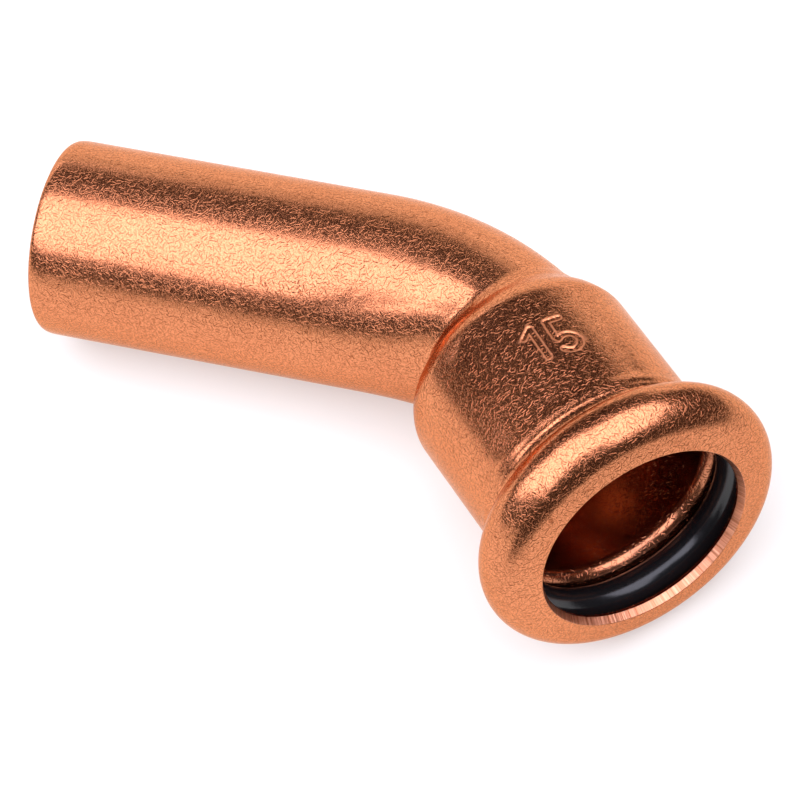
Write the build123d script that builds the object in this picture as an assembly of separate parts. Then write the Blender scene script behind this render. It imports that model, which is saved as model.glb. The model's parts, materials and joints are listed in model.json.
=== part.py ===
from build123d import *
import os
from math import acos, asin, atan2, cos, degrees, hypot, radians, sin, sqrt, tan

# A copper press bend of 45 degrees for 15 mm pipe. One end is a plain spigot of
# pipe size. The other is a press socket, expanded from the same tube, with a
# rolled bead at its mouth that holds a rubber sealing ring.
#
# It is drawn with the spigot along X and the bend turning towards -Y. Then it is
# laid down as it rests on a bench, on its spigot and its bead.

# Spigot and bend, in millimetres and degrees
pipe_diameter = 15.0
tube_wall = 1.4
spigot_length = 25.0
spigot_chamfer = 0.3
bore_chamfer = 0.2
bend_radius = 18.6
bend_angle = 45.0
bend_flattening = 4.0

# Socket, measured along its axis from the end of the bend
socket_length = 17.9
guide_bore_diameter = 15.3
socket_wall = 1.33
shoulder_lead = 2.0
shoulder_angle = 48.5
shoulder_radius = 2.5
crease_radius = 1.3

# Sealing ring, and the bead rolled round it
ring_section = 2.6
ring_bore = 15.6
ring_clearance = 0.05
ring_from_mouth = 3.0
bead_from_mouth = 2.65
bead_width = 4.86
bead_wall = 1.23
neck_radius = 1.5
guide_edge_radius = 1.3

# Lip: the cut end of the tube, curled in until it nearly faces the axis
mouth_diameter = 16.6
lip_face = 0.67
lip_face_angle = 26.5
lip_land = 0.25

# How finely the model is worked out
bend_sections = 5
lean_tolerance = 1e-9

# Worked out from the sizes above
tube_radius = pipe_diameter / 2
water_radius = tube_radius - tube_wall
guide_radius = guide_bore_diameter / 2
socket_radius = guide_radius + socket_wall
ring_radius = (ring_bore + ring_section) / 2
ring_station = socket_length - ring_from_mouth
chamber_radius = ring_section / 2 + ring_clearance
bead_radius = bead_width / 2
bead_ring_radius = ring_radius + chamber_radius + bead_wall - bead_radius
bead_station = socket_length - bead_from_mouth
mouth_radius = mouth_diameter / 2
turn = radians(bend_angle)
flank = radians(shoulder_angle)
right_angle = radians(90)


def bend_plane(angle):
    """Section plane of the bend, its local X pointing out of the bend."""
    centre = (bend_radius * sin(angle), -bend_radius * (1 - cos(angle)), 0)
    outward = (sin(angle), cos(angle), 0)
    heading = (cos(angle), -sin(angle), 0)
    return Plane(origin=centre, x_dir=outward, z_dir=heading)


def bend_section(share, radius):
    """Section of a tube at a share of the bend, flattened on its inner side."""
    depth = radius - bend_flattening * share**2
    outer_half = CenterArc((0, 0), radius, -90, 180)
    inner_half = EllipticalCenterArc((0, 0), radius, depth, 0, arc_size=180, rotation=90)
    return bend_plane(turn * share) * make_face([outer_half, inner_half])


def bent_core(radius):
    """Solid core of the spigot and the bend, of the given radius."""
    straight = extrude(Plane.YZ * Circle(radius), -spigot_length)
    shares = [i / (bend_sections - 1) for i in range(bend_sections)]
    return straight + loft([bend_section(share, radius) for share in shares])


def arc_points(centre, radius, start, end):
    """First, middle and last point of an arc, with its angles in radians."""
    angles = (start, (start + end) / 2, end)
    return [(centre[0] + radius * cos(a), centre[1] + radius * sin(a)) for a in angles]


def shoulder_curves(root_radius, inset):
    """Conical flank and rounded shoulder, set in from the outer ones."""
    centre_r = socket_radius - shoulder_radius
    flank_top = centre_r + shoulder_radius * cos(flank)
    centre_s = (flank_top - tube_radius) / tan(flank) - shoulder_lead + shoulder_radius * sin(flank)
    crown = arc_points((centre_s, centre_r), shoulder_radius - inset, flank + right_angle, right_angle)
    root = (crown[0][0] - (crown[0][1] - root_radius) / tan(flank), root_radius)
    return [Line(root, crown[0]), ThreePointArc(*crown)], root, crown[-1]


def bead_curves(wall_radius, fillet_radius, centre, section_radius, lip_point):
    """Neck arc, arc over the bead's or the chamber's section and tangent line to the lip."""
    reach = fillet_radius + section_radius
    rise = wall_radius + fillet_radius - centre[1]
    neck_centre = (centre[0] - sqrt(reach**2 - rise**2), wall_radius + fillet_radius)
    meet = 2 * right_angle - asin(rise / reach)
    neck = arc_points(neck_centre, fillet_radius, -right_angle, meet - 2 * right_angle)
    along = lip_point[0] - centre[0]
    across = lip_point[1] - centre[1]
    leave = atan2(across, along) + acos(section_radius / hypot(along, across))
    crown = arc_points(centre, section_radius, meet, leave)
    return [ThreePointArc(*neck), ThreePointArc(*crown), Line(crown[-1], lip_point)], neck[0]


def turned(curves, first, last):
    """Solid of revolution about the socket's axis from an open half outline."""
    closing = Polyline(last, (last[0], 0), (first[0], 0), first)
    end = bend_plane(turn)
    drawing = Plane(origin=end.origin, x_dir=end.z_dir, z_dir=(0, 0, 1))
    return revolve(drawing * make_face([*curves, *closing.edges()]), Axis(end.origin, end.z_dir))


def socket_core():
    """Outside of the socket as a solid: flank, shoulder, wall, bead and lip."""
    shoulder, root, shoulder_end = shoulder_curves(tube_radius / 2, 0)
    mouth = (socket_length, mouth_radius)
    bead_centre = (bead_station, bead_ring_radius)
    bead, neck_start = bead_curves(socket_radius, neck_radius, bead_centre, bead_radius, mouth)
    return turned([*shoulder, Line(shoulder_end, neck_start), *bead], root, mouth)


def socket_room():
    """Room inside the socket: stop, guide bore, ring chamber and mouth."""
    shoulder, root, shoulder_end = shoulder_curves(water_radius / 2, socket_wall)
    lip_tilt = radians(lip_face_angle)
    face_edge = (socket_length - lip_face * cos(lip_tilt), mouth_radius - lip_face * sin(lip_tilt))
    inner_edge = (face_edge[0] - lip_land, face_edge[1])
    mouth = (socket_length, mouth_radius)
    beyond = (socket_length + socket_wall, mouth_radius)
    chamber_centre = (ring_station, ring_radius)
    chamber, neck_start = bead_curves(
        guide_radius, guide_edge_radius, chamber_centre, chamber_radius, inner_edge
    )
    face = [Line(inner_edge, face_edge), Line(face_edge, mouth), Line(mouth, beyond)]
    return turned([*shoulder, Line(shoulder_end, neck_start), *chamber, *face], root, beyond)


def bend_body():
    """The copper body, one tube from the spigot's end to the lip."""
    tube = bent_core(tube_radius)
    socket = socket_core()
    outside = tube + socket
    outside = fillet(new_edges(tube, socket, combined=outside), crease_radius)
    spigot_end = outside.faces().sort_by(Axis.X).first
    outside = chamfer(spigot_end.edges(), spigot_chamfer)
    body = outside - bent_core(water_radius) - socket_room()
    bore_edge = body.faces().sort_by(Axis.X).first.edges().sort_by(SortBy.LENGTH).first
    return chamfer(bore_edge, bore_chamfer)


def sealing_ring():
    """The rubber ring, round in section, loose in its chamber by its clearance."""
    end = bend_plane(turn)
    seat = Plane(origin=end.origin + end.z_dir * ring_station, x_dir=end.x_dir, z_dir=end.z_dir)
    return seat * Torus(ring_radius, ring_section / 2)


def bead_height(lean):
    """Height of the bead's lowest point above the spigot's lowest line."""
    sideways = bend_radius * (1 - cos(turn)) + bead_station * sin(turn)
    steepness = sqrt(1 - (sin(turn) * sin(lean)) ** 2)
    return sideways * sin(lean) - bead_ring_radius * steepness - bead_radius + tube_radius


def resting_lean():
    """Lean of the bend plane, in degrees, at which the bead just touches."""
    low, high = 0.0, right_angle
    while high - low > lean_tolerance:
        middle = (low + high) / 2
        low, high = (middle, high) if bead_height(middle) < 0 else (low, middle)
    return degrees(high)


def laid_down(solid):
    """The solid as it rests, with the origin at the centre of the spigot's end."""
    return Pos(spigot_length, 0, 0) * Rot(-resting_lean(), 0, 0) * solid


os.makedirs("parts", exist_ok=True)
export_step(laid_down(bend_body()), "parts/bend_body.step")
export_step(laid_down(sealing_ring()), "parts/sealing_ring.step")
print("lean of the bend plane:", round(resting_lean(), 3))
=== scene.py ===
import json
import math

import bpy
import numpy as np
from mathutils import Matrix, Vector


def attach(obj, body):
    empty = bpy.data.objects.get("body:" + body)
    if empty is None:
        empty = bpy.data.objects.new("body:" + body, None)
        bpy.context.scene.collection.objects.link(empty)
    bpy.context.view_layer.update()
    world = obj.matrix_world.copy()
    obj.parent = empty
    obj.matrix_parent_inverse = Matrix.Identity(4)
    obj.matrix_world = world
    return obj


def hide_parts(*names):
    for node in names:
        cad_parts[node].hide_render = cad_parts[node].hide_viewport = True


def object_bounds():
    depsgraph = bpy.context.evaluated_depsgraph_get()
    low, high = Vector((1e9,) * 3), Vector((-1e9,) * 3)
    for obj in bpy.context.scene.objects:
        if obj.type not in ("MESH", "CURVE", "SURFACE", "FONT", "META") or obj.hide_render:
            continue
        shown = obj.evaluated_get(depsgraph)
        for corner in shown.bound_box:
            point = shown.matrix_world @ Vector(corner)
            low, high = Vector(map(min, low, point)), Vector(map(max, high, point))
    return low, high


bl_info = {
    "name": "Copper press bend",
    "version": (1, 0, 0),
    "blender": (4, 5, 0),
    "location": "3D View > Sidebar > Press Bend",
    "description": "Dresses a 45 degree copper press bend with its rubber sealing ring",
    "category": "Object",
}

# A copper press bend of 45 degrees for 15 mm pipe lies on white paper, with a black
# rubber ring in the rolled bead at its mouth. The spigot runs along +X, and the socket
# turns towards -Y.

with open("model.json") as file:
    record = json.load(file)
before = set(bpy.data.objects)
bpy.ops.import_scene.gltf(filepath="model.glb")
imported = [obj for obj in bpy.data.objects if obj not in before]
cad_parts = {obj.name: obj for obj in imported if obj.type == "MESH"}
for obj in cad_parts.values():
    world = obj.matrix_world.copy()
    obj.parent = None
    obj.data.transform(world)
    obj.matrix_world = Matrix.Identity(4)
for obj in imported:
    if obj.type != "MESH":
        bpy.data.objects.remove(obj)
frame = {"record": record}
CAD_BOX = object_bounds()
MM = 0.001
MOUNTS = {mount["name"]: mount for mount in frame["record"]["mounts"]}
PIPE_RADIUS = MOUNTS["spigot"]["dims"]["r_mm"] * MM
GUIDE_RADIUS = MOUNTS["socket"]["dims"]["r_mm"] * MM

# Finishes of the body's faces, in the order of its materials
PICKLED, SHEARED, ANNEALED = 0, 1, 2

# Places along the fitting, from the end of the bend. Between each start and the crown's
# end, rows of points stand close together, outside for the crease and inside for the stop.
CREASE_START = -4.2 * MM
STOP_START = -6.5 * MM
CROWN_END = 1.0 * MM
# The flank is looked for from this far before the close rows
FLANK_ROOM = 2 * MM

# Rounded marks of the tools, as place, width and height in millimetres. The first
# are counted from the end of the bend, the others from the start of the neck.
SHOULDER_MARKS = ((-2.6, 0.28, 0.035), (-1.7, 0.22, 0.025))
NECK_MARKS = ((-0.8, 0.45, 0.06), (-0.15, 0.2, 0.03))


class PressBendSizes(bpy.types.PropertyGroup):
    """Sizes of the copper body and of its sealing ring."""

    spigot_length: bpy.props.FloatProperty(
        name="Spigot length", description="Straight length before the bend",
        default=25 * MM, unit="LENGTH", subtype="DISTANCE")
    tube_wall: bpy.props.FloatProperty(
        name="Tube wall", description="Wall of the spigot and the bend",
        default=1.4 * MM, unit="LENGTH", subtype="DISTANCE")
    spigot_chamfer: bpy.props.FloatProperty(
        name="Spigot chamfer", description="Chamfer round the outside of the spigot's end",
        default=0.3 * MM, unit="LENGTH", subtype="DISTANCE")
    bore_chamfer: bpy.props.FloatProperty(
        name="Bore chamfer", description="Chamfer round the bore at the spigot's end",
        default=0.2 * MM, unit="LENGTH", subtype="DISTANCE")
    bend_radius: bpy.props.FloatProperty(
        name="Bend radius", description="Radius of the bend's centreline",
        default=18.6 * MM, unit="LENGTH", subtype="DISTANCE")
    bend_flattening: bpy.props.FloatProperty(
        name="Bend flattening", description="How far the inner side of the bend is drawn in",
        default=4 * MM, unit="LENGTH", subtype="DISTANCE")
    socket_wall: bpy.props.FloatProperty(
        name="Socket wall", description="Wall of the expanded socket",
        default=1.33 * MM, unit="LENGTH", subtype="DISTANCE")
    socket_length: bpy.props.FloatProperty(
        name="Socket length", description="From the end of the bend to the mouth",
        default=17.9 * MM, unit="LENGTH", subtype="DISTANCE")
    shoulder_lead: bpy.props.FloatProperty(
        name="Shoulder lead", description="How far before the end of the bend the flank starts",
        default=2 * MM, unit="LENGTH", subtype="DISTANCE")
    shoulder_angle: bpy.props.FloatProperty(
        name="Shoulder angle", description="Slope of the conical flank",
        default=math.radians(48.5), unit="ROTATION", subtype="ANGLE")
    shoulder_radius: bpy.props.FloatProperty(
        name="Shoulder radius", description="Rounding where the flank meets the socket",
        default=2.5 * MM, unit="LENGTH", subtype="DISTANCE")
    crease_radius: bpy.props.FloatProperty(
        name="Crease radius", description="Rounding in the crease between bend and flank",
        default=3 * MM, unit="LENGTH", subtype="DISTANCE")
    bead_from_mouth: bpy.props.FloatProperty(
        name="Bead from mouth", description="From the mouth back to the middle of the bead",
        default=2.65 * MM, unit="LENGTH", subtype="DISTANCE")
    bead_width: bpy.props.FloatProperty(
        name="Bead width", description="Thickness of the rolled bead along the axis",
        default=4.86 * MM, unit="LENGTH", subtype="DISTANCE")
    bead_wall: bpy.props.FloatProperty(
        name="Bead wall", description="Wall of the bead over the ring",
        default=1.23 * MM, unit="LENGTH", subtype="DISTANCE")
    neck_radius: bpy.props.FloatProperty(
        name="Neck radius", description="Rounding between the socket and the bead",
        default=1.5 * MM, unit="LENGTH", subtype="DISTANCE")
    guide_edge_radius: bpy.props.FloatProperty(
        name="Guide edge radius", description="Rounding between the guide bore and the chamber",
        default=1.3 * MM, unit="LENGTH", subtype="DISTANCE")
    mouth_diameter: bpy.props.FloatProperty(
        name="Mouth diameter", description="Opening in the curled lip",
        default=16.6 * MM, unit="LENGTH", subtype="DISTANCE")
    lip_face: bpy.props.FloatProperty(
        name="Lip face", description="Width of the cut face inside the lip",
        default=0.67 * MM, unit="LENGTH", subtype="DISTANCE")
    lip_face_angle: bpy.props.FloatProperty(
        name="Lip face angle", description="Slope of the cut face against the axis",
        default=math.radians(26.5), unit="ROTATION", subtype="ANGLE")
    lip_land: bpy.props.FloatProperty(
        name="Lip land", description="Level strip between the cut face and the chamber",
        default=0.25 * MM, unit="LENGTH", subtype="DISTANCE")
    lip_rounding: bpy.props.FloatProperty(
        name="Lip rounding", description="Edge rounding of the cut face",
        default=0.1 * MM, unit="LENGTH", subtype="DISTANCE")
    ring_section: bpy.props.FloatProperty(
        name="Ring section", description="Thickness of the sealing ring",
        default=2.6 * MM, unit="LENGTH", subtype="DISTANCE")
    ring_bore: bpy.props.FloatProperty(
        name="Ring bore", description="Inner diameter of the sealing ring",
        default=15.6 * MM, unit="LENGTH", subtype="DISTANCE")
    ring_clearance: bpy.props.FloatProperty(
        name="Ring clearance", description="Gap between the ring and its chamber",
        default=0.05 * MM, unit="LENGTH", subtype="DISTANCE")
    ring_from_mouth: bpy.props.FloatProperty(
        name="Ring from mouth", description="From the mouth back to the middle of the ring",
        default=3 * MM, unit="LENGTH", subtype="DISTANCE")
    stamp_depth: bpy.props.FloatProperty(
        name="Stamp depth", description="Depth of the stamped size number",
        default=0.06 * MM, unit="LENGTH", subtype="DISTANCE")
    stamp_stroke: bpy.props.FloatProperty(
        name="Stamp stroke", description="Width of a stroke of the size number",
        default=0.24 * MM, unit="LENGTH", subtype="DISTANCE")
    stamp_bevel: bpy.props.FloatProperty(
        name="Stamp bevel", description="Width of the sloped sides of a stroke",
        default=0.12 * MM, unit="LENGTH", subtype="DISTANCE")
    stamp_from_bend: bpy.props.FloatProperty(
        name="Stamp from bend", description="From the end of the bend to the middle of the number",
        default=5 * MM, unit="LENGTH", subtype="DISTANCE")


class PressBendColours(bpy.types.PropertyGroup):
    """Colours of the finishes, as sRGB hex values."""

    copper: bpy.props.StringProperty(
        name="Copper", description="Clean copper", default="#E29468")
    copper_deep: bpy.props.StringProperty(
        name="Deep copper", description="Copper where the pickle left it redder", default="#D8875D")
    copper_edge: bpy.props.StringProperty(
        name="Copper edge", description="Copper seen at a glancing angle", default="#F8DCC6")
    # Painted shade: the groove colour darkens the copper down in the scratches and the tool marks.
    groove: bpy.props.StringProperty(
        name="Groove", description="Copper down in the scratches", default="#A15C3A")
    copper_cut: bpy.props.StringProperty(
        name="Cut copper", description="Fresh copper on the sheared faces", default="#E6A17F")
    copper_oxide: bpy.props.StringProperty(
        name="Copper oxide", description="Brown film left in the bore by annealing", default="#A06A52")
    rubber: bpy.props.StringProperty(
        name="Ring rubber", description="Black rubber of the sealing ring", default="#18191A")
    floor: bpy.props.StringProperty(
        name="Floor", description="White paper under the fitting", default="#D9D9CC")
    flag: bpy.props.StringProperty(
        name="Flag", description="Dark cloth round the set", default="#4E4944")


def linear(hex_value):
    """Linear red, green, blue and alpha of an sRGB hex value."""
    parts = [int(hex_value[i:i + 2], 16) / 255 for i in (1, 3, 5)]
    knee = 0.04045
    return [p / 12.92 if p <= knee else ((p + 0.055) / 1.055) ** 2.4 for p in parts] + [1.0]


def add_node(tree, kind, inputs=(), **settings):
    """A new node with its settings made and its sockets set or linked."""
    made = tree.nodes.new(kind)
    for name, value in settings.items():
        setattr(made, name, value)
    for key, value in dict(inputs).items():
        if isinstance(value, bpy.types.NodeSocket):
            tree.links.new(value, made.inputs[key])
        else:
            made.inputs[key].default_value = value
    return made


def new_material(name):
    """An empty node material and its tree."""
    material = bpy.data.materials.new(name)
    material.use_nodes = True
    material.node_tree.nodes.clear()
    return material, material.node_tree


def per_mm(size):
    """Texture scale at which one repeat is so many millimetres."""
    return 1 / (size * MM)


def unit(vector):
    """The vector at length 1."""
    return vector / np.linalg.norm(vector)


def eased(share):
    """A share from 0 to 1, eased at both ends."""
    return share * share * (3 - 2 * share)


class Spine:
    """Centreline of the fitting: straight spigot, bend, straight socket.

    It runs along from the spigot's open end and turns towards the exit. Outward is
    away from the bend's centre, and normal is square to the plane of the bend.
    """

    def __init__(self, sizes):
        self.start = np.array(MOUNTS["spigot"]["pos_m"])
        self.along = -np.array(MOUNTS["spigot"]["axis"])
        self.exit = unit(np.array(MOUNTS["socket"]["axis"]))
        self.outward = unit(self.along * (self.exit @ self.along) - self.exit)
        self.normal = np.cross(self.along, self.outward)
        self.turn = math.acos(self.exit @ self.along)
        self.straight = sizes.spigot_length
        self.radius = sizes.bend_radius
        self.bend_length = self.radius * self.turn
        self.bend_end = self.straight + self.bend_length
        self.end, self.end_outward = self.at(self.bend_end)

    def at(self, station):
        """Point on the centreline and the direction out of the bend there."""
        angle = min(max(station - self.straight, 0) / self.radius, self.turn)
        outward = self.along * math.sin(angle) + self.outward * math.cos(angle)
        heading = self.along * math.cos(angle) - self.outward * math.sin(angle)
        straight = min(station, self.straight)
        beyond = max(station - self.bend_end, 0)
        point = self.start + self.along * straight + heading * beyond
        point = point + self.along * self.radius * math.sin(angle)
        return point - self.outward * self.radius * (1 - math.cos(angle)), outward

    def directions(self, outward, angles):
        """Directions away from the centreline, at angles from the way out of the bend."""
        return np.outer(np.cos(angles), outward) + np.outer(np.sin(angles), self.normal)

    def share(self, station):
        """How much of the bend lies behind a station, from 0 to 1."""
        return min(max((station - self.straight) / self.bend_length, 0), 1)


def arc(centre, radius, start, end, step):
    """Points of an arc in a half section, its angles in radians."""
    count = max(2, round(abs(end - start) / step) + 1)
    angles = np.linspace(start, end, count)
    return [(centre[0] + radius * math.cos(a), centre[1] + radius * math.sin(a)) for a in angles]


def span(start, end, step):
    """Evenly spaced values from start up to, and without, end."""
    return list(np.linspace(start, end, max(1, round(abs(end - start) / step)), endpoint=False))


class Profile:
    """Half sections of the socket's outside and of the room inside it."""

    ARC_STEP = math.radians(4)
    QUARTER = math.radians(90)

    def __init__(self, sizes):
        self.sizes = sizes
        self.socket_radius = GUIDE_RADIUS + sizes.socket_wall
        ring_radius = (sizes.ring_bore + sizes.ring_section) / 2
        self.ring = (sizes.socket_length - sizes.ring_from_mouth, ring_radius)
        self.chamber_radius = sizes.ring_section / 2 + sizes.ring_clearance
        self.bead_radius = sizes.bead_width / 2
        bead_crest = ring_radius + self.chamber_radius + sizes.bead_wall
        self.bead = (sizes.socket_length - sizes.bead_from_mouth, bead_crest - self.bead_radius)
        self.mouth = (sizes.socket_length, sizes.mouth_diameter / 2)
        tilt = sizes.lip_face_angle
        self.face_edge = (
            self.mouth[0] - sizes.lip_face * math.cos(tilt),
            self.mouth[1] - sizes.lip_face * math.sin(tilt),
        )
        self.inner_edge = (self.face_edge[0] - sizes.lip_land, self.face_edge[1])

    def shoulder(self, root_radius, inset):
        """Flank and rounded shoulder, set in from the outer ones."""
        sizes = self.sizes
        flank = sizes.shoulder_angle
        centre_r = self.socket_radius - sizes.shoulder_radius
        flank_top = centre_r + sizes.shoulder_radius * math.cos(flank)
        run = (flank_top - PIPE_RADIUS) / math.tan(flank)
        centre_s = run - sizes.shoulder_lead + sizes.shoulder_radius * math.sin(flank)
        crown = arc(
            (centre_s, centre_r), sizes.shoulder_radius - inset,
            flank + self.QUARTER, self.QUARTER, self.ARC_STEP,
        )
        root_s = crown[0][0] - (crown[0][1] - root_radius) / math.tan(flank)
        return [(root_s, root_radius), *crown]

    def roll(self, wall_radius, fillet, centre, section, lip_point):
        """Neck, arc round the bead's or the chamber's centre and the run to the lip."""
        reach = fillet + section
        rise = wall_radius + fillet - centre[1]
        neck_centre = (centre[0] - math.sqrt(reach**2 - rise**2), wall_radius + fillet)
        meet = 2 * self.QUARTER - math.asin(rise / reach)
        neck = arc(neck_centre, fillet, -self.QUARTER, meet - 2 * self.QUARTER, self.ARC_STEP)
        along = lip_point[0] - centre[0]
        across = lip_point[1] - centre[1]
        leave = math.atan2(across, along) + math.acos(section / math.hypot(along, across))
        crown = arc(centre, section, meet, leave, self.ARC_STEP)
        return [*neck, *crown[1:], lip_point]


def rounded_corner(before, corner, after, radius):
    """Points that round the corner between two straight runs."""
    to_before = unit(np.subtract(before, corner))
    to_after = unit(np.subtract(after, corner))
    half = math.acos(np.clip(to_before @ to_after, -1, 1)) / 2
    reach = min(radius / math.tan(half), np.linalg.norm(np.subtract(before, corner)) / 2)
    start, end = corner + to_before * reach, corner + to_after * reach
    shares = (0, 0.2, 0.4, 0.6, 0.8, 1)
    return [tuple((1 - t) ** 2 * start + 2 * t * (1 - t) * np.array(corner) + t**2 * end)
            for t in shares]


def column_angles():
    """Angles round the tube, closer together where the number is stamped."""
    number_from, number_to = 76.5, 102
    fine, coarse = 0.34, 2.3
    stamped = span(number_from, number_to, fine)
    return np.radians(stamped + span(number_to, number_from + 360, coarse))


def tube_reach(radius, flattening, share, angles):
    """Distance from the centreline to the skin of the spigot or the bend."""
    depth = radius - flattening * share**2
    inner = 1 / np.hypot(np.cos(angles) / depth, np.sin(angles) / radius)
    return np.where(np.cos(angles) < 0, inner, radius)


def socket_reach(spine, station, angles, half_section):
    """Distance from the centreline to the skin of the turned socket."""
    point, outward = spine.at(station)
    # It is looked for out to this distance, in so many steps.
    limit, count = 14 * MM, 700
    reach = np.linspace(0, limit, count)
    directions = spine.directions(outward, angles)
    points = point + directions[:, None, :] * reach[None, :, None] - spine.end
    along = points @ spine.exit
    off_axis = np.linalg.norm(points - along[..., None] * spine.exit, axis=2)
    stations, radii = np.array(half_section).T
    room = np.interp(along, stations, radii, left=-MM) - off_axis
    inside = room > 0
    last = count - 1 - np.argmax(inside[:, ::-1], axis=1)
    last = np.where(inside.any(axis=1), np.minimum(last, count - 2), 0)
    rows = np.arange(len(angles))
    here, there = room[rows, last], room[rows, last + 1]
    share = np.clip(here / np.where(here > there, here - there, 1), 0, 1)
    return np.where(inside.any(axis=1), (last + share) * limit / (count - 1), 0)


def smooth_larger(a, b, blend):
    """The larger of two distances, rounded where they are nearly equal."""
    overlap = np.clip(blend - np.abs(a - b), 0, None) / blend
    return np.maximum(a, b) + overlap**2 * blend / 4


def stroke_distance(points, stroke):
    """Distance of points on the unrolled socket from a stroke of a figure."""
    best = np.full(points.shape[:-1], np.inf)
    for start, end in zip(stroke[:-1], stroke[1:]):
        start, run = np.array(start), np.subtract(end, start)
        share = np.clip((points - start) @ run / (run @ run), 0, 1)
        away = np.linalg.norm(points - start - share[..., None] * run, axis=-1)
        best = np.minimum(best, away)
    return best


def size_number_strokes():
    """Strokes of the stamped 15, x in the reading direction, y towards the bend."""
    # Corners in millimetres
    stem_top, stem_foot, flag = (-0.84, 1.72), (-0.93, -1.32), (-1.6, 1.12)
    bar_end, corner, waist = (1.5, 1.66), (0.44, 1.66), (0.36, 0.02)
    bowl_centre, bowl_radius = (1.06, -0.8), 0.8
    bowl = arc(bowl_centre, bowl_radius, math.radians(135), math.radians(-148), math.radians(12))
    strokes = ([flag, stem_top, stem_foot], [bar_end, corner, waist, *bowl])
    return [[(x * MM, y * MM) for x, y in stroke] for stroke in strokes]


def stamped_number(sizes, stations, angles, radius):
    """How far the size number presses the skin in, and where its raised rims are."""
    x = (math.radians(90) - angles) * radius
    y = sizes.stamp_from_bend - stations
    points = np.stack(np.meshgrid(x, y), axis=-1)
    distance = np.min([stroke_distance(points, s) for s in size_number_strokes()], axis=0)
    half_stroke, bevel = sizes.stamp_stroke / 2, sizes.stamp_bevel
    side = np.clip((half_stroke + bevel - distance) / bevel, 0, 1)
    # The metal that the stamp pushed aside stands up by a quarter of its depth.
    rim_offset, rim_width, rim_share = half_stroke + 1.1 * bevel, 0.5 * bevel, 0.25
    rim = np.exp(-((distance - rim_offset) / rim_width) ** 2)
    return sizes.stamp_depth * (eased(side) - rim_share * rim), rim


class Skin:
    """Rows of points along the body, closed on itself through the spigot's end."""

    def __init__(self, spine, angles):
        self.spine = spine
        self.angles = angles
        self.rows = []
        self.finishes = []
        self.rims = []

    def add(self, station, reach, finish, rim=0):
        """A row round the centreline at a station, at the given distances."""
        point, outward = self.spine.at(station)
        away = self.spine.directions(outward, self.angles)
        self.rows.append(point + away * np.broadcast_to(reach, self.angles.shape)[:, None])
        self.finishes.append(finish)
        self.rims.append(np.broadcast_to(rim, self.angles.shape))


def ridge(station, centre, width, height):
    """Height of a rounded ridge that runs round the tube."""
    return height * math.exp(-((station - centre) / width) ** 2)


def forming_marks(station, marks):
    """Height of the marks left by the tools at a station."""
    return sum(ridge(station, place * MM, width * MM, height * MM) for place, width, height in marks)


def add_spigot_and_bend(skin, sizes, profile):
    """Outside of the spigot and the bend, then the crease, the flank and its crown."""
    spine, angles = skin.spine, skin.angles
    chamfer = sizes.spigot_chamfer
    # The deburring wheel ran the chamfer out softly: along and inward, in chamfers
    for along, inward in ((0, 1), (0.3, 0.66), (0.6, 0.46), (1, 0.28), (1.5, 0.14), (2, 0.06)):
        skin.add(along * chamfer, PIPE_RADIUS - inward * chamfer, PICKLED)
    section = [*profile.shoulder(PIPE_RADIUS / 2, 0), (sizes.socket_length, profile.socket_radius)]
    # The crease is sharper on the inner side of the bend and softer on the outer side.
    softness = np.interp(np.cos(angles), (-1, 0, 1), (0.6, 1.1, 1.6))
    flank = sizes.shoulder_angle
    blend = sizes.crease_radius * softness * (1 - math.cos(flank)) / math.cos(flank)
    close_from, crown_end = spine.bend_end + CREASE_START, spine.bend_end + CROWN_END
    # The rounding fades out over this length, up to just past the crown.
    fade_length, fade_end = 2.5 * MM, crown_end + 0.05 * MM
    straight_step, bend_step, close_step = 0.9 * MM, 0.5 * MM, 0.12 * MM
    stations = [3 * chamfer, *span(4 * chamfer, spine.straight, straight_step)]
    stations += span(spine.straight, close_from, bend_step)
    stations += span(close_from, crown_end, close_step)
    for station in stations:
        reach = tube_reach(PIPE_RADIUS, sizes.bend_flattening, spine.share(station), angles)
        if station > close_from - FLANK_ROOM:
            fade = eased(min((fade_end - station) / fade_length, 1))
            reach = smooth_larger(reach, socket_reach(spine, station, angles, section), blend * fade)
        skin.add(station, reach + forming_marks(station - spine.bend_end, SHOULDER_MARKS), PICKLED)


def add_socket_wall(skin, sizes, profile, neck_start):
    """Outside of the socket up to the neck, with the stamped number and the rolling marks."""
    stamp_room, rolled_length = 2 * MM, 1.8 * MM
    stamp_from, stamp_to = sizes.stamp_from_bend - stamp_room, sizes.stamp_from_bend + stamp_room
    rolled_from = neck_start - rolled_length
    crown_step, stamp_step, plain_step, rolled_step = 0.3 * MM, 0.052 * MM, 0.5 * MM, 0.1 * MM
    wall = span(CROWN_END, stamp_from, crown_step) + span(stamp_from, stamp_to, stamp_step)
    wall += span(stamp_to, rolled_from, plain_step) + span(rolled_from, neck_start, rolled_step)
    number = stamped_number(sizes, np.array(wall), skin.angles, profile.socket_radius)
    for along, pressed, rim in zip(wall, *number):
        reach = profile.socket_radius + forming_marks(along - neck_start, NECK_MARKS) - pressed
        skin.add(skin.spine.bend_end + along, reach, PICKLED, rim)


def add_outside(skin, sizes, profile):
    """Spigot, bend, shoulder, socket, bead and lip, from the spigot's end."""
    add_spigot_and_bend(skin, sizes, profile)
    neck = profile.roll(
        profile.socket_radius, sizes.neck_radius, profile.bead, profile.bead_radius, profile.mouth
    )
    add_socket_wall(skin, sizes, profile, neck[0][0])
    # The sheared face starts halfway round the lip's edge.
    lip = rounded_corner(neck[-2], profile.mouth, profile.face_edge, sizes.lip_rounding)
    for along, radius in [*neck[:-1], *lip[:3]]:
        skin.add(skin.spine.bend_end + along, radius, PICKLED)
    for along, radius in lip[3:]:
        skin.add(skin.spine.bend_end + along, radius, SHEARED)


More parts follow.
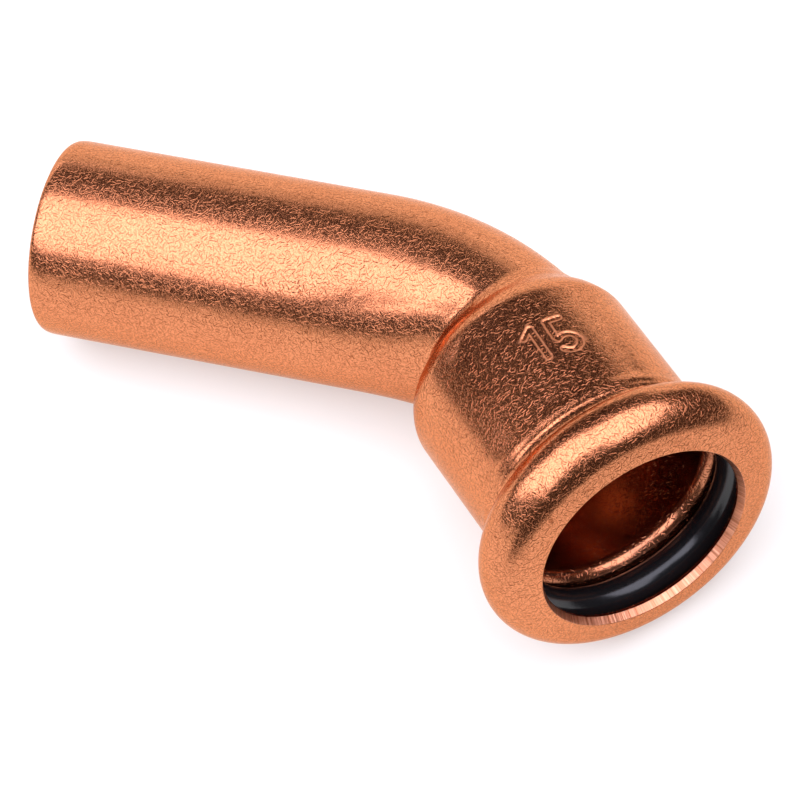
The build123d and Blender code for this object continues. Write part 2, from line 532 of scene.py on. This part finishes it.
def add_mouth(skin, sizes, profile):
    """Sheared face, its land and the ring chamber. Returns where the guide bore starts."""
    chamber = profile.roll(
        GUIDE_RADIUS, sizes.guide_edge_radius, profile.ring, profile.chamber_radius, profile.inner_edge
    )[::-1]
    middle = tuple((np.array(profile.mouth) + profile.face_edge) / 2)
    face_edge = rounded_corner(profile.mouth, profile.face_edge, profile.inner_edge, sizes.lip_rounding)
    land_edge = rounded_corner(profile.face_edge, profile.inner_edge, chamber[1], sizes.lip_rounding)
    for along, radius in [middle, *face_edge[:4]]:
        skin.add(skin.spine.bend_end + along, radius, SHEARED)
    for along, radius in [*face_edge[4:], *land_edge, *chamber[1:]]:
        skin.add(skin.spine.bend_end + along, radius, ANNEALED)
    return skin.spine.bend_end + chamber[-1][0]


def add_inside(skin, sizes, profile):
    """Mouth, guide bore, stop and waterway, back to the spigot's end."""
    spine, angles = skin.spine, skin.angles
    guide_start = add_mouth(skin, sizes, profile)
    water_radius = PIPE_RADIUS - sizes.tube_wall
    shoulder = profile.shoulder(water_radius / 2, sizes.socket_wall)
    section = [*shoulder, (sizes.socket_length, GUIDE_RADIUS)]
    close_to, crown_end = spine.bend_end + STOP_START, spine.bend_end + CROWN_END
    guide_step, close_step, bend_step, straight_step = 0.8 * MM, 0.25 * MM, 0.8 * MM, 1.5 * MM
    for station in span(guide_start, crown_end, guide_step)[1:]:
        skin.add(station, GUIDE_RADIUS, ANNEALED)
    stations = span(crown_end, close_to, close_step) + span(close_to, spine.straight, bend_step)
    stations += [*span(spine.straight, sizes.bore_chamfer, straight_step), sizes.bore_chamfer]
    stop_blend = 0.25 * MM
    for station in stations:
        reach = tube_reach(water_radius, sizes.bend_flattening, spine.share(station), angles)
        if station > close_to - FLANK_ROOM:
            reach = smooth_larger(reach, socket_reach(spine, station, angles, section), stop_blend)
        skin.add(station, reach, ANNEALED)
    skin.add(0, water_radius + sizes.bore_chamfer, SHEARED)


def ring_rows(sizes):
    """Rows of points round the ring's section, with a low flash where the mould's halves met."""
    spine, profile = Spine(sizes), Profile(sizes)
    around_step, section_step = 1.5, 7.5
    away = spine.directions(spine.end_outward, np.radians(span(0, 360, around_step)))
    flash_width, flash_height = math.radians(5), 0.03 * MM
    rows = []
    for angle in np.radians(span(0, 360, section_step)):
        seam = min(abs(angle - math.pi), abs(angle), abs(angle - 2 * math.pi))
        thick = sizes.ring_section / 2 + ridge(seam, 0, flash_width, flash_height)
        station = profile.ring[0] + thick * math.sin(angle)
        radius = profile.ring[1] + thick * math.cos(angle)
        rows.append(spine.end + spine.exit * station + away * radius)
    return rows


def placed(name, data):
    """A new object in the scene, from a mesh, a lamp or a camera."""
    made = bpy.data.objects.new(name, data)
    bpy.context.scene.collection.objects.link(made)
    return made


def mesh_object(name, points, faces, materials):
    """A new mesh object in the scene."""
    mesh = bpy.data.meshes.new(name)
    mesh.from_pydata(points, [], faces)
    for material in materials:
        mesh.materials.append(material)
    return placed(name, mesh)


def closed_skin(name, rows, finishes, materials):
    """A closed mesh from rows of points, with a finish for the faces after each row."""
    count, around = len(rows), len(rows[0])
    here = np.arange(around)
    after = (here + 1) % around
    faces = []
    for row in range(count):
        this, following = row * around, (row + 1) % count * around
        faces.append(np.stack([this + here, this + after, following + after, following + here], 1))
    faces = np.concatenate(faces)
    made = mesh_object(name, np.concatenate(rows).tolist(), faces.tolist(), materials)
    polygons = made.data.polygons
    polygons.foreach_set("material_index", np.repeat(finishes, around).astype(np.int32))
    polygons.foreach_set("use_smooth", np.ones(len(faces), bool))
    made.data.update()
    return made


def lay_pattern(made, skin, radius):
    """Stores where each point lies on the skin, and how much of a struck rim it is."""
    points, angles = np.array(skin.rows), skin.angles
    steps = np.linalg.norm(np.diff(points, axis=0), axis=2).mean(axis=1)
    along = np.concatenate([[0], np.cumsum(steps)])
    place = np.empty(points.shape, np.float32)
    place[..., 0] = radius * np.cos(angles)
    place[..., 1] = radius * np.sin(angles)
    place[..., 2] = along[:, None]
    layer = made.data.attributes.new("skin_place", "FLOAT_VECTOR", "POINT")
    layer.data.foreach_set("vector", place.ravel())
    layer = made.data.attributes.new("struck_rim", "FLOAT", "POINT")
    layer.data.foreach_set("value", np.array(skin.rims, np.float32).ravel())


def short_scratches(tree, coordinates, spacing, width):
    """Height of short straight scratches that run every way, from 0 in a groove to 1.

    Their spacing and width are in millimetres.
    Each cell of a random pattern is crossed by one tilted plane. Where that
    plane cuts the skin it leaves a scratch about as long as the cell.
    """
    cells = add_node(tree, "ShaderNodeTexVoronoi", {
        "Vector": coordinates, "Scale": per_mm(spacing)})
    away = add_node(tree, "ShaderNodeVectorMath", {
        0: coordinates, 1: cells.outputs["Position"]}, operation="SUBTRACT")
    # Each cell's random colour, centred on zero, gives its plane's slant.
    random = add_node(tree, "ShaderNodeVectorMath", {
        0: cells.outputs["Color"], 1: (0.5, 0.5, 0.5)}, operation="SUBTRACT")
    slant = add_node(tree, "ShaderNodeVectorMath", {0: random.outputs[0]}, operation="NORMALIZE")
    across = add_node(tree, "ShaderNodeVectorMath", {
        0: away.outputs[0], 1: slant.outputs[0]}, operation="DOT_PRODUCT")
    sides = add_node(tree, "ShaderNodeMath", {0: across.outputs["Value"]}, operation="ABSOLUTE")
    groove = add_node(tree, "ShaderNodeMapRange", {
        "Value": sides.outputs[0], "From Min": 0.0, "From Max": width / 2 * MM},
        interpolation_type="SMOOTHSTEP")
    return groove.outputs["Result"]


def pickled_copper(colours):
    """Drawn copper tube, annealed, formed, then pickled and tumbled clean.

    The eye sees a soft metallic sheen broken up by a dense crackle of tiny
    scratches, and a colour that drifts a little between orange and rose. The
    shade down in the scratches and in fine speckles is painted into the colour.
    """
    material, tree = new_material("copper_drawn_pickled")
    place = add_node(tree, "ShaderNodeTexCoord").outputs["Object"]
    # The real scratches are less than 0.1 mm wide and 0.1 to 0.4 mm long.
    coarse = short_scratches(tree, place, spacing=0.3, width=0.07)
    fine = short_scratches(tree, place, spacing=0.14, width=0.05)
    height = add_node(tree, "ShaderNodeMath", {0: fine, 1: 0.35, 2: coarse}, operation="MULTIPLY_ADD")
    # The tumbling left shallow dimples a millimetre across.
    dimples = add_node(tree, "ShaderNodeTexNoise", {
        "Vector": place, "Scale": per_mm(1.1), "Detail": 3.0, "Roughness": 0.6})
    patches = add_node(tree, "ShaderNodeTexNoise", {
        "Vector": place, "Scale": per_mm(6), "Detail": 3.0, "Roughness": 0.6})
    worn = add_node(tree, "ShaderNodeMix", {
        "Factor": patches.outputs["Fac"], "A": linear(colours.copper),
        "B": linear(colours.copper_deep)}, data_type="RGBA")
    depth = add_node(tree, "ShaderNodeMapRange", {
        "Value": height.outputs[0], "From Min": 0.2, "From Max": 1.3})
    # Fine noise speckles the metal with spots about 0.1 mm across, which take part of the painted
    # groove shade.
    pits = add_node(tree, "ShaderNodeTexNoise", {
        "Vector": place, "Scale": per_mm(0.13), "Detail": 2.0, "Roughness": 0.7})
    speckle = add_node(tree, "ShaderNodeMapRange", {
        "Value": pits.outputs["Fac"], "From Min": 0.38, "From Max": 0.56, "To Min": 0.4})
    bright = add_node(tree, "ShaderNodeMath", {
        0: depth.outputs["Result"], 1: speckle.outputs["Result"]}, operation="MULTIPLY")
    # Painted shade: low in the scratches and speckles the colour goes to the darker groove tone.
    tone = add_node(tree, "ShaderNodeMix", {
        "Factor": bright.outputs[0], "A": linear(colours.groove),
        "B": worn.outputs["Result"]}, data_type="RGBA")
    # Where the number was struck, the raised rims are rough and catch every lamp.
    struck = add_node(tree, "ShaderNodeAttribute", attribute_name="struck_rim").outputs["Fac"]
    tone = add_node(tree, "ShaderNodeMix", {
        "Factor": struck, "A": tone.outputs["Result"],
        "B": linear(colours.copper)}, data_type="RGBA")
    soft_sheen = add_node(tree, "ShaderNodeMapRange", {
        "Value": patches.outputs["Fac"], "To Min": 0.16, "To Max": 0.24})
    rough = add_node(tree, "ShaderNodeMapRange", {
        "Value": struck, "To Min": soft_sheen.outputs["Result"], "To Max": 0.6})
    soft = add_node(tree, "ShaderNodeBump", {
        "Height": dimples.outputs["Fac"], "Strength": 1.0, "Distance": 0.025 * MM})
    bumped = add_node(tree, "ShaderNodeBump", {
        "Height": height.outputs[0], "Normal": soft.outputs["Normal"], "Strength": 1.0,
        "Distance": 0.0115 * MM})
    shader = add_node(tree, "ShaderNodeBsdfPrincipled", {
        "Base Color": tone.outputs["Result"], "Metallic": 1.0,
        "Roughness": rough.outputs["Result"], "Normal": bumped.outputs["Normal"],
        "Specular Tint": linear(colours.copper_edge)})
    add_node(tree, "ShaderNodeOutputMaterial", {"Surface": shader.outputs["BSDF"]})
    return material


def sheared_copper(colours):
    """Copper cut by a tool, at the lip and at the spigot's end.

    The eye sees a bright face with fine tool marks that run across the wall.
    The shade in the low parts of the marks is painted into the colour.
    """
    material, tree = new_material("copper_sheared")
    place = add_node(tree, "ShaderNodeAttribute", attribute_name="skin_place")
    across = add_node(tree, "ShaderNodeVectorMath", {
        0: place.outputs["Vector"], 1: (1, 1, 0)}, operation="MULTIPLY")
    # The tool marks are 0.1 to 0.2 mm apart.
    marks = add_node(tree, "ShaderNodeTexNoise", {
        "Vector": across.outputs[0], "Scale": per_mm(0.2), "Detail": 3.0, "Roughness": 0.7})
    # Painted shade: the low parts of the tool marks take the darker groove tone.
    torn = add_node(tree, "ShaderNodeMapRange", {
        "Value": marks.outputs["Fac"], "From Min": 0.3, "From Max": 0.65})
    tone = add_node(tree, "ShaderNodeMix", {
        "Factor": torn.outputs["Result"], "A": linear(colours.groove),
        "B": linear(colours.copper_cut)}, data_type="RGBA")
    bumped = add_node(tree, "ShaderNodeBump", {
        "Height": marks.outputs["Fac"], "Strength": 1.0, "Distance": 0.08 * MM})
    shader = add_node(tree, "ShaderNodeBsdfPrincipled", {
        "Base Color": tone.outputs["Result"], "Metallic": 1.0, "Roughness": 0.3,
        "Normal": bumped.outputs["Normal"]})
    add_node(tree, "ShaderNodeOutputMaterial", {"Surface": shader.outputs["BSDF"]})
    return material


def annealed_bore_copper(colours):
    """Copper inside the fitting, where annealing left a thin brown film.

    The eye sees a darker metal, shiny in the chamber and deep red further in.
    """
    material, tree = new_material("copper_bore_annealed")
    place = add_node(tree, "ShaderNodeTexCoord").outputs["Object"]
    # The scratches are about as coarse as on the outside.
    height = short_scratches(tree, place, spacing=0.25, width=0.08)
    patches = add_node(tree, "ShaderNodeTexNoise", {
        "Vector": place, "Scale": per_mm(3), "Detail": 3.0})
    tone = add_node(tree, "ShaderNodeMix", {
        "Factor": patches.outputs["Fac"], "A": linear(colours.copper_deep),
        "B": linear(colours.copper_oxide)}, data_type="RGBA")
    bumped = add_node(tree, "ShaderNodeBump", {
        "Height": height, "Strength": 1.0, "Distance": 0.01 * MM})
    shader = add_node(tree, "ShaderNodeBsdfPrincipled", {
        "Base Color": tone.outputs["Result"], "Metallic": 1.0, "Roughness": 0.2,
        "Normal": bumped.outputs["Normal"]})
    add_node(tree, "ShaderNodeOutputMaterial", {"Surface": shader.outputs["BSDF"]})
    return material


def moulded_rubber(colours):
    """Black EPDM rubber, moulded in a polished tool and lightly greased.

    The eye sees deep black with a soft grey sheen and a few small specks.
    """
    material, tree = new_material("rubber_epdm_moulded")
    place = add_node(tree, "ShaderNodeTexCoord").outputs["Object"]
    grain = add_node(tree, "ShaderNodeTexNoise", {
        "Vector": place, "Scale": per_mm(0.2), "Detail": 3.0, "Roughness": 0.7})
    rough = add_node(tree, "ShaderNodeMapRange", {
        "Value": grain.outputs["Fac"], "To Min": 0.12, "To Max": 0.3})
    bumped = add_node(tree, "ShaderNodeBump", {
        "Height": grain.outputs["Fac"], "Strength": 1.0, "Distance": 0.004 * MM})
    shader = add_node(tree, "ShaderNodeBsdfPrincipled", {
        "Base Color": linear(colours.rubber), "Roughness": rough.outputs["Result"],
        "Normal": bumped.outputs["Normal"]})
    add_node(tree, "ShaderNodeOutputMaterial", {"Surface": shader.outputs["BSDF"]})
    return material


class PRESSBEND_OT_body(bpy.types.Operator):
    """Make the copper body in the place of its plain solid."""

    bl_idname = "pressbend.body"
    bl_label = "Copper body"

    def execute(self, context):
        sizes = context.scene.press_bend_sizes
        colours = context.scene.press_bend_colours
        skin = Skin(Spine(sizes), column_angles())
        profile = Profile(sizes)
        add_outside(skin, sizes, profile)
        add_inside(skin, sizes, profile)
        materials = [pickled_copper(colours), sheared_copper(colours), annealed_bore_copper(colours)]
        body = closed_skin("press_bend_copper", skin.rows, skin.finishes, materials)
        lay_pattern(body, skin, profile.mouth[1])
        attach(body, "root")
        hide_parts("bend_body")
        return {"FINISHED"}


class PRESSBEND_OT_ring(bpy.types.Operator):
    """Make the sealing ring in the place of its plain solid."""

    bl_idname = "pressbend.ring"
    bl_label = "Sealing ring"

    def execute(self, context):
        sizes = context.scene.press_bend_sizes
        colours = context.scene.press_bend_colours
        rows = ring_rows(sizes)
        ring = closed_skin("sealing_ring_rubber", rows, [0] * len(rows), [moulded_rubber(colours)])
        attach(ring, "root")
        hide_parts("sealing_ring")
        return {"FINISHED"}


WHITE = (1, 1, 1, 1)
# The room's dim light, and the glow that makes the paper plain white to the eye
ROOM_LEVEL = 0.35
PAPER_GLOW = 0.38
# Sizes of the stage in metres. The lamp's level is the brightness of its face, and its
# colour is linear and a little blue.
FLOOR_SIZE = 4.0
LAMP_SIZE = 3.2
LAMP_HEIGHT = 0.55
LAMP_LEVEL = 2.25
LAMP_COLOUR = (0.97, 0.955, 1.2)
# The dark cloth hangs round the set at this distance. From the fitting, at each azimuth,
# it is seen between these two elevations. Under it lies the pale backdrop.
CLOTH_DISTANCE = 0.26
CLOTH_EDGES = (
    (-80, 0, 22), (-53, 8, 33), (-38, 13, 40), (-23, 13, 42), (-8, 10, 38), (12, 0, 34), (19, -4, 58),
    (56, -4, 58), (62, -4, 30), (82, -4, 32), (105, -4, 37), (127, -4, 33), (150, 0, 37), (172, 12, 48),
    (187, 16, 58), (210, 20, 68), (232, 20, 60), (250, 8, 34),
)
# A second cloth hangs close by on the right, between these azimuths and elevations
NEAR_CLOTH_DISTANCE = 0.09
NEAR_CLOTH_ARC = (0, 165)
NEAR_CLOTH_EDGES = (-4, 30)
# Degrees between the corners of each cloth
CLOTH_STEP = 4
NEAR_CLOTH_STEP = 5
# A flag stands over the end of the bend, so that the socket reflects it
FLAG_FOOT = (32 * MM, -2 * MM)
FLAG_LOW = 13.5 * MM
FLAG_HIGH = 34 * MM
FLAG_WIDTH = 40 * MM
# Where the camera stood: azimuth from -Y towards +X, height and roll, in degrees
CAMERA_AZIMUTH = 30.885
CAMERA_ELEVATION = 61.865
CAMERA_ROLL = -17.13
CAMERA_DISTANCE = 301.86 * MM
CAMERA_TARGET = Vector((29.35, -8.28, 0)) * MM
# Its focal length and the width of its sensor, in the millimetres that the camera is set in
CAMERA_LENS = 183.59
SENSOR_WIDTH = 36.0


def white_for_the_eye(tree, inside, white):
    """White for camera, glossy and transmission rays, and another shader for the rest."""
    path = add_node(tree, "ShaderNodeLightPath").outputs
    seen = add_node(tree, "ShaderNodeMath", {
        0: path["Is Camera Ray"], 1: path["Is Glossy Ray"]}, operation="MAXIMUM")
    seen = add_node(tree, "ShaderNodeMath", {
        0: seen.outputs[0], 1: path["Is Transmission Ray"]}, operation="MAXIMUM")
    return add_node(tree, "ShaderNodeMixShader", {0: seen.outputs[0], 1: inside, 2: white})


def white_paper(colours):
    """Matt white paper. The eye sees plain white and the fitting's soft shadow."""
    material, tree = new_material("floor_white_paper")
    paper = add_node(tree, "ShaderNodeBsdfDiffuse", {"Color": linear(colours.floor)})
    glow = add_node(tree, "ShaderNodeEmission", {"Color": WHITE, "Strength": PAPER_GLOW})
    lifted = add_node(tree, "ShaderNodeAddShader", {0: paper.outputs[0], 1: glow.outputs[0]})
    mixed = white_for_the_eye(tree, paper.outputs[0], lifted.outputs[0])
    add_node(tree, "ShaderNodeOutputMaterial", {"Surface": mixed.outputs[0]})
    return material


def dark_cloth(colours):
    """Matt grey cloth that keeps light off the metal."""
    material, tree = new_material("flag_grey_cloth")
    cloth = add_node(tree, "ShaderNodeBsdfDiffuse", {"Color": linear(colours.flag)})
    add_node(tree, "ShaderNodeOutputMaterial", {"Surface": cloth.outputs[0]})
    return material


def direction(azimuth, elevation):
    """Unit vector towards an azimuth and elevation in degrees."""
    a, e = math.radians(azimuth), math.radians(elevation)
    return Vector((math.sin(a) * math.cos(e), -math.cos(a) * math.cos(e), math.sin(e)))


def add_floor(colours):
    """The sheet of white paper that the fitting rests on."""
    low, half = CAD_BOX[0].z, FLOOR_SIZE / 2
    corners = [(-half, -half, low), (half, -half, low), (half, half, low), (-half, half, low)]
    mesh_object("floor", corners, [(0, 1, 2, 3)], [white_paper(colours)])


def hang_cloth(name, points, cloth):
    """A dark strip, hidden from the camera, from pairs of low and high points."""
    faces = [(i, i + 2, i + 3, i + 1) for i in range(0, len(points) - 2, 2)]
    strip = mesh_object(name, points, faces, [cloth])
    strip.visible_camera = False
    return strip


def standing_points(edges, distance):
    """Low and high points on an arc round the fitting, from azimuths and elevations."""
    centre = (CAD_BOX[0] + CAD_BOX[1]) / 2
    points = []
    for azimuth, lowest, highest in edges:
        foot = centre + direction(azimuth, 0) * distance
        points += [(foot.x, foot.y, distance * math.tan(math.radians(e))) for e in (lowest, highest)]
    return points


def add_cloths(colours):
    """The dark surroundings, what stood close by on the right, and the flag."""
    cloth = dark_cloth(colours)
    azimuths, lows, highs = zip(*CLOTH_EDGES)
    turn = [*span(azimuths[0], azimuths[0] + 360, CLOTH_STEP), azimuths[0] + 360]
    edges = [(a, np.interp(a, azimuths, lows, period=360), np.interp(a, azimuths, highs, period=360))
             for a in turn]
    hang_cloth("surrounding_cloth", standing_points(edges, CLOTH_DISTANCE), cloth)
    near = [(a, *NEAR_CLOTH_EDGES) for a in span(*NEAR_CLOTH_ARC, NEAR_CLOTH_STEP)]
    near_cloth = hang_cloth("near_cloth", standing_points(near, NEAR_CLOTH_DISTANCE), cloth)
    near_cloth.visible_shadow = False
    heading = Vector(MOUNTS["socket"]["axis"])
    across = Vector((-heading.y, heading.x, 0)).normalized()
    ends = [Vector((*FLAG_FOOT, 0)) + across * side * FLAG_WIDTH / 2 for side in (-1, 1)]
    flag = hang_cloth("flag", [(e.x, e.y, z) for e in ends for z in (FLAG_LOW, FLAG_HIGH)], cloth)
    flag.visible_shadow = False
    flag.visible_diffuse = False


def add_lamp():
    """A large soft lamp overhead that faces the floor."""
    lamp = bpy.data.lights.new("softbox", "AREA")
    lamp.shape = "SQUARE"
    lamp.size = LAMP_SIZE
    lamp.color = LAMP_COLOUR
    lamp.energy = LAMP_LEVEL * math.pi * LAMP_SIZE**2
    made = placed("softbox", lamp)
    made.location = (0, 0, LAMP_HEIGHT)


def add_world():
    """A plain dim room, white where the eye or the metal sees it."""
    world = bpy.data.worlds.new("room")
    world.use_nodes = True
    tree = world.node_tree
    tree.nodes.clear()
    room = add_node(tree, "ShaderNodeBackground", {"Color": WHITE, "Strength": ROOM_LEVEL})
    white = add_node(tree, "ShaderNodeBackground", {"Color": WHITE, "Strength": 1.0})
    mixed = white_for_the_eye(tree, room.outputs[0], white.outputs[0])
    add_node(tree, "ShaderNodeOutputWorld", {"Surface": mixed.outputs[0]})
    bpy.context.scene.world = world


def add_camera():
    """The camera where the photographer's stood, rolled as theirs was."""
    back = direction(CAMERA_AZIMUTH, CAMERA_ELEVATION)
    level = direction(CAMERA_AZIMUTH + 90, 0)
    up = back.cross(level)
    roll = math.radians(CAMERA_ROLL)
    right = level * math.cos(roll) + up * math.sin(roll)
    up = back.cross(right)
    camera = bpy.data.cameras.new("camera")
    camera.sensor_width = SENSOR_WIDTH
    camera.lens = CAMERA_LENS
    camera.clip_start = 10 * MM
    made = placed("camera", camera)
    turned = Matrix((right, up, back)).transposed().to_4x4()
    made.matrix_world = Matrix.Translation(CAMERA_TARGET + back * CAMERA_DISTANCE) @ turned
    bpy.context.scene.camera = made


class PRESSBEND_OT_stage(bpy.types.Operator):
    """Set up the floor, the lamp, the dark cloth and the camera."""

    bl_idname = "pressbend.stage"
    bl_label = "Stage"

    def execute(self, context):
        colours = context.scene.press_bend_colours
        add_floor(colours)
        add_cloths(colours)
        add_lamp()
        add_world()
        add_camera()
        context.scene.view_settings.view_transform = "Standard"
        return {"FINISHED"}


class PRESSBEND_PT_panel(bpy.types.Panel):
    """Sizes, colours and the steps that make the fitting."""

    bl_idname = "PRESSBEND_PT_panel"
    bl_label = "Press Bend"
    bl_space_type = "VIEW_3D"
    bl_region_type = "UI"
    bl_category = "Press Bend"

    def draw(self, context):
        for group in (context.scene.press_bend_sizes, context.scene.press_bend_colours):
            column = self.layout.column(align=True)
            for name in group.__annotations__:
                column.prop(group, name)
        for operator in OPERATORS:
            self.layout.operator(operator.bl_idname)


OPERATORS = (PRESSBEND_OT_stage, PRESSBEND_OT_body, PRESSBEND_OT_ring)
CLASSES = (PressBendSizes, PressBendColours, *OPERATORS, PRESSBEND_PT_panel)


def register():
    """Register the classes and give the scene its sizes and colours."""
    for item in CLASSES:
        bpy.utils.register_class(item)
    bpy.types.Scene.press_bend_sizes = bpy.props.PointerProperty(type=PressBendSizes)
    bpy.types.Scene.press_bend_colours = bpy.props.PointerProperty(type=PressBendColours)


def unregister():
    """Take the sizes, the colours and the classes away again."""
    del bpy.types.Scene.press_bend_colours
    del bpy.types.Scene.press_bend_sizes
    for item in reversed(CLASSES):
        bpy.utils.unregister_class(item)


def main():
    """Set up the stage and make the fitting and its ring."""
    register()
    bpy.ops.pressbend.stage()
    bpy.ops.pressbend.body()
    bpy.ops.pressbend.ring()


if __name__ == "__main__":
    main()
